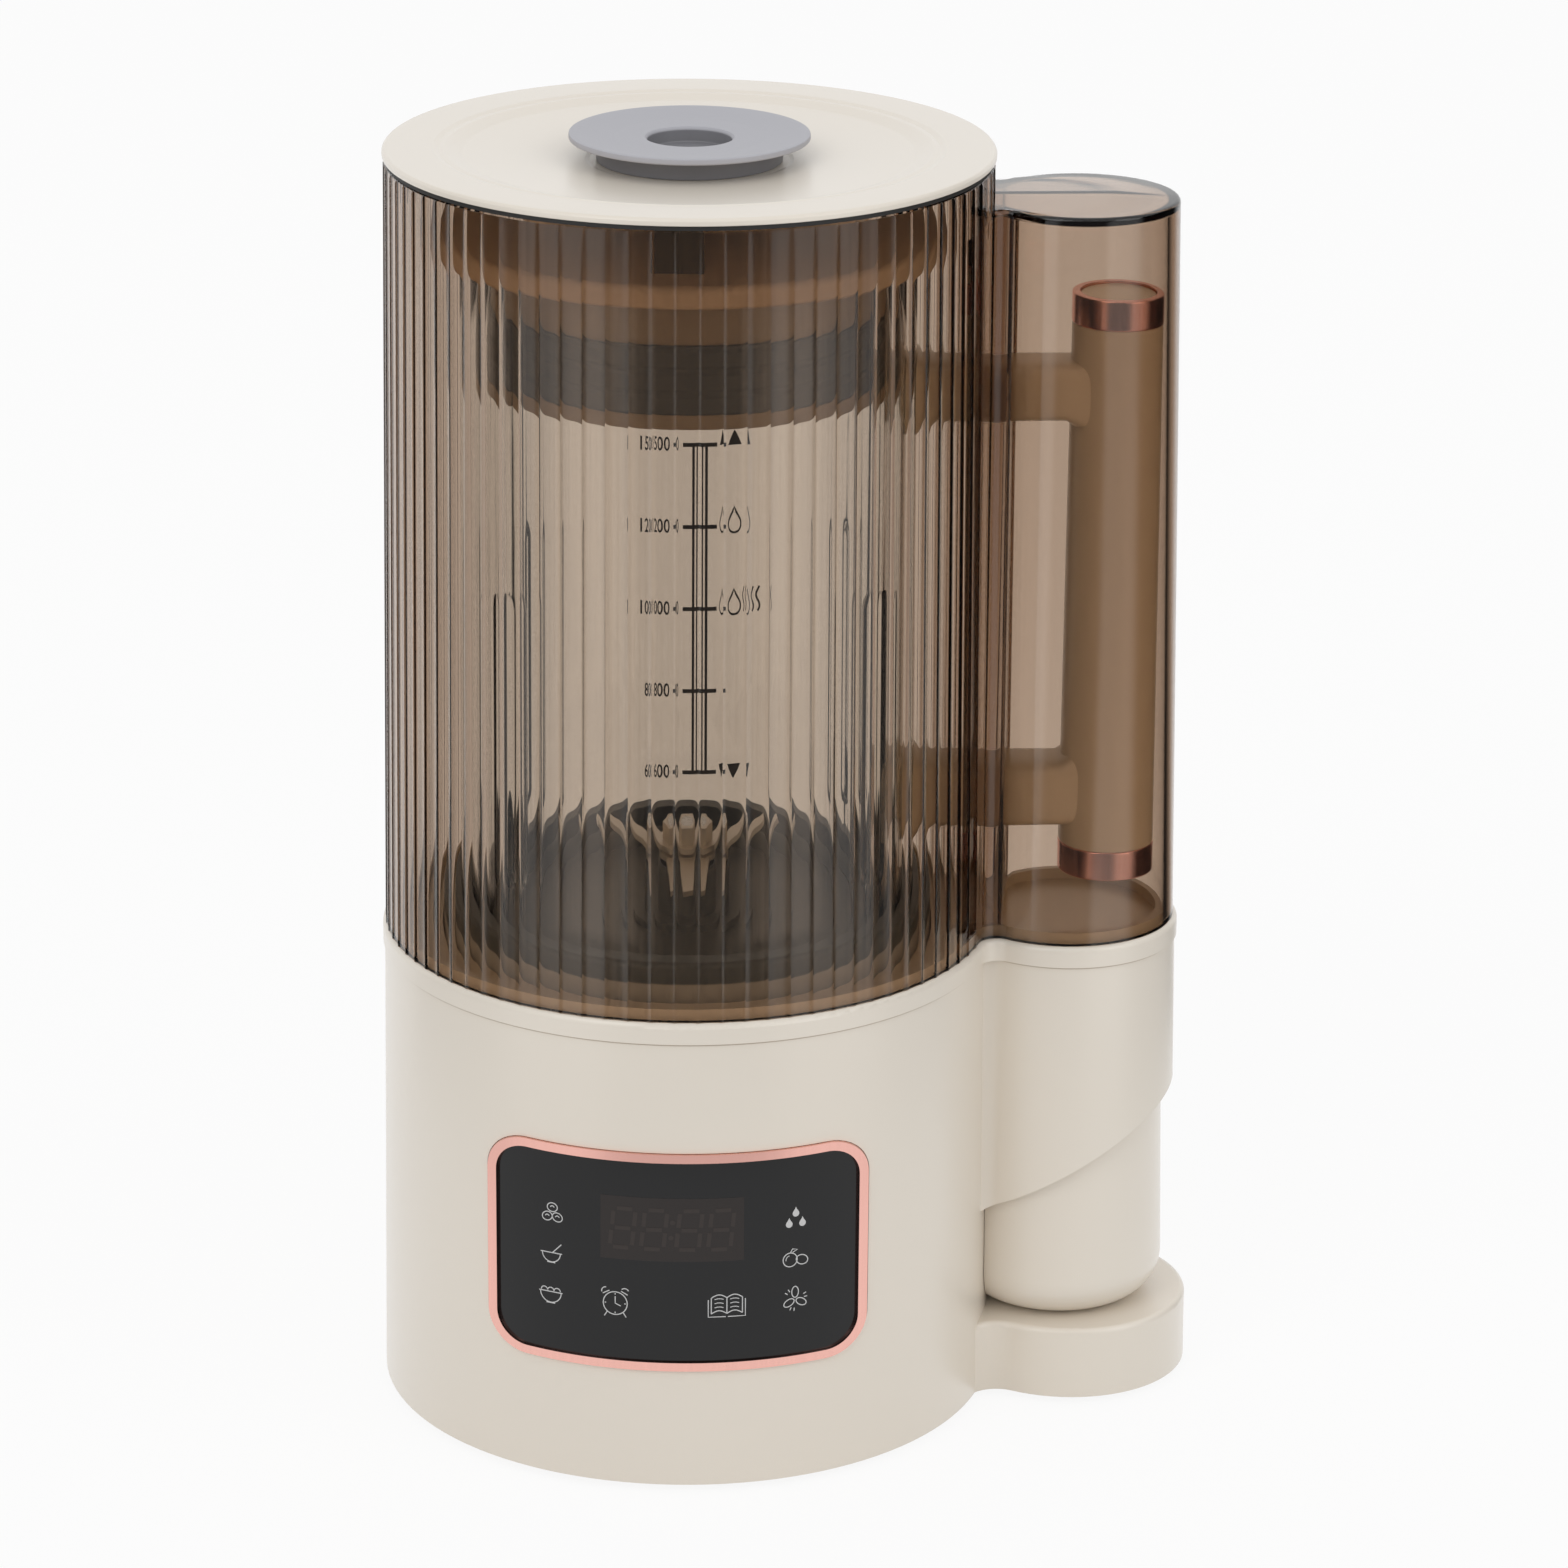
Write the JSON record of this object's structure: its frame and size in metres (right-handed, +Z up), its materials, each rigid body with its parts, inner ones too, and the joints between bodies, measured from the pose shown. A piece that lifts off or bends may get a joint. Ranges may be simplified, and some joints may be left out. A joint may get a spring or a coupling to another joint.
{
  "type": "soy milk maker",
  "caption": "Countertop soy milk maker: heated glass blender jug under a reeded smoky hood, on a motor base with a touch panel and a side column that covers the jug's handle.",
  "frame": {"origin": "on the table under the main body's upright axis, level with the underside of the feet", "axes": "+Z up along the main body's axis, +X towards the side column, -Y towards the user; the panel looks 4 degrees from -Y, away from the column"},
  "size_m": [0.2263, 0.1733, 0.3551],
  "materials": {
    "cream_plastic": "soft gloss",
    "smoky_plastic": "clear, smoky brown",
    "clear_glass": "clear",
    "rose_metal": "rose, satin",
    "panel_black": "gloss",
    "plug_silicone": "satin",
    "black_rubber": "matte",
    "dark_plastic": "matte",
    "smoky_clip": "satin",
    "steel": "brushed",
    "motor_iron": "plain",
    "copper_wire": "enamelled",
    "contact_brass": "plain",
    "cast_aluminium": "cast",
    "carbon": "matte",
    "board_green": "satin"
  },
  "bodies": {
    "base": {"base_housing": "cream_plastic", "column_lower_shell": "cream_plastic", "case_screws": "steel", "base_deck": "cream_plastic", "jug_socket": "dark_plastic", "socket_contacts": "contact_brass", "bottom_plate": "cream_plastic", "feet": "black_rubber", "panel_lens": "panel_black", "panel_bezel": "rose_metal", "display_board": "board_green", "display_module": "dark_plastic", "touch_springs": "steel", "power_board": "board_green", "power_board_parts": "dark_plastic", "mains_inlet": "dark_plastic", "inlet_pins": "contact_brass", "motor_top_bracket": "cast_aluminium", "motor_bottom_bracket": "cast_aluminium", "motor_bearings": "steel", "motor_dampers": "black_rubber", "motor_screws": "steel", "motor_stator": "motor_iron", "field_coils": "copper_wire", "carbon_brushes": "carbon"},
    "motor_rotor": {"motor_shaft": "steel", "armature_core": "motor_iron", "armature_winding": "copper_wire", "commutator": "copper_wire", "cooling_fan": "dark_plastic", "motor_coupling": "dark_plastic"},
    "jug": {"jug_collar": "dark_plastic", "heating_plate": "steel", "heating_element": "steel", "jug_bottom_gasket": "black_rubber", "temperature_probe": "steel", "jug_base_cover": "dark_plastic", "cover_screws": "steel", "jug_connector": "dark_plastic", "jug_glass": "clear_glass", "jug_handle": "cream_plastic", "handle_rings": "rose_metal", "blade_bearing_housing": "steel", "blade_bearings": "steel", "blade_shaft_seal": "black_rubber", "bearing_nut": "steel"},
    "blade_rotor": {"blade_shaft": "steel", "blade_upper": "steel", "blade_lower": "steel", "blade_nut": "steel", "jug_coupling": "dark_plastic"},
    "jug_lid": {"jug_lid_cap": "cream_plastic", "jug_lid_plug": "cream_plastic", "jug_lid_seal": "plug_silicone", "lid_steam_valve": "plug_silicone"},
    "hood": {"hood_shell": "smoky_plastic", "hood_gasket": "black_rubber", "hood_top_plate": "cream_plastic", "hood_clips": "smoky_clip"},
    "vent_plug": {"vent_plug": "plug_silicone"}
  },
  "joints": [
    {"name": "jug_lift", "type": "slide", "parent": "base", "child": "jug", "axis": [0, 0, 1], "range_m": [0, 0.06]},
    {"name": "lid_lift", "type": "slide", "parent": "jug", "child": "jug_lid", "axis": [0, 0, 1], "range_m": [0, 0.06]},
    {"name": "hood_lift", "type": "slide", "parent": "jug_lid", "child": "hood", "axis": [0, 0, 1], "range_m": [0, 0.21]},
    {"name": "plug_lift", "type": "slide", "parent": "hood", "child": "vent_plug", "axis": [0, 0, 1], "range_m": [0, 0.03]},
    {"name": "motor_spin", "type": "hinge", "parent": "base", "child": "motor_rotor", "pos_m": [0, 0, 0.065], "axis": [0, 0, 1], "continuous": true},
    {"name": "blade_spin", "type": "hinge", "parent": "jug", "child": "blade_rotor", "pos_m": [0, 0, 0.14], "axis": [0, 0, 1], "continuous": true}
  ],
  "couplings": [
    {"joint": "blade_spin", "follows": "motor_spin", "ratio": 1}
  ]
}
